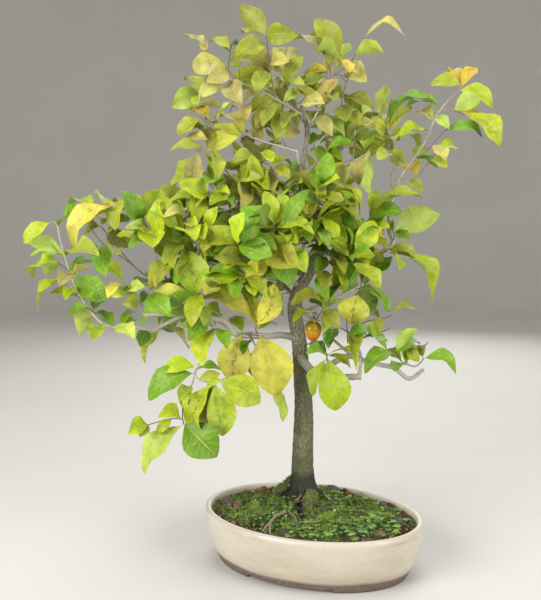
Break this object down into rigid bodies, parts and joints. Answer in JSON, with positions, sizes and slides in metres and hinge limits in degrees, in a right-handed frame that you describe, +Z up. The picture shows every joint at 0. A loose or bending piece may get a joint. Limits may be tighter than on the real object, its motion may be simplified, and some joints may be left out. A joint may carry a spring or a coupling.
{
  "type": "bonsai tree in a pot",
  "caption": "Princess persimmon bonsai in autumn colour with a ripe fruit, moss and stones, in an oval cream glazed pot.",
  "frame": {"origin": "under the middle of the whole object, on the surface its feet stand on", "axes": "+Z up, +X along the pot's long side to the viewer's right, +Y towards the back"},
  "size_m": [0.49, 0.4, 0.6662],
  "materials": {
    "pot_glaze": "glossy",
    "screen": "matte",
    "soil": "matte",
    "bark": "matte",
    "fruit": "glossy",
    "calyx": "satin",
    "lava_stone": "matte",
    "leaves": "satin"
  },
  "bodies": {
    "root": {"pot": "pot_glaze", "drain_screen_left": "screen", "drain_screen_right": "screen", "soil": "soil", "trunk_and_branches": "bark", "fruit": "fruit", "calyx": "calyx", "stone_left_end": "lava_stone", "stone_left": "lava_stone", "stone_back_left": "lava_stone", "stone_front": "lava_stone", "stone_behind_trunk": "lava_stone", "stone_back_right": "lava_stone", "stone_right_end": "lava_stone", "stone_right_front": "lava_stone", "spray_left_reach": "leaves", "spray_left_arch": "leaves", "spray_left_twigs": "leaves", "spray_left_crown": "leaves", "spray_left_fork": "leaves", "spray_low_left": "leaves", "spray_yellow_front": "leaves", "spray_mid_left": "leaves", "spray_mid_front": "leaves", "spray_mid_drop": "leaves", "spray_upper_left": "leaves", "spray_upper_gold": "leaves", "spray_inner_left": "leaves", "spray_top_left": "leaves", "spray_top_centre": "leaves", "spray_top_inner": "leaves", "spray_right_top": "leaves", "spray_right_side": "leaves", "spray_right_inner": "leaves", "spray_right_limb": "leaves", "spray_centre_front": "leaves", "spray_centre": "leaves", "spray_right_centre": "leaves", "spray_right_pale": "leaves", "spray_right_drop": "leaves", "spray_trunk_twig": "leaves", "spray_spoon": "leaves", "spray_right_low": "leaves", "spray_right_hang": "leaves", "spray_right_tip": "leaves", "spray_back_right": "leaves", "spray_back_left": "leaves", "spray_back": "leaves", "spray_back_upper_left": "leaves", "spray_back_upper": "leaves", "spray_back_top": "leaves", "spray_back_low_left": "leaves"}
  },
  "joints": []
}
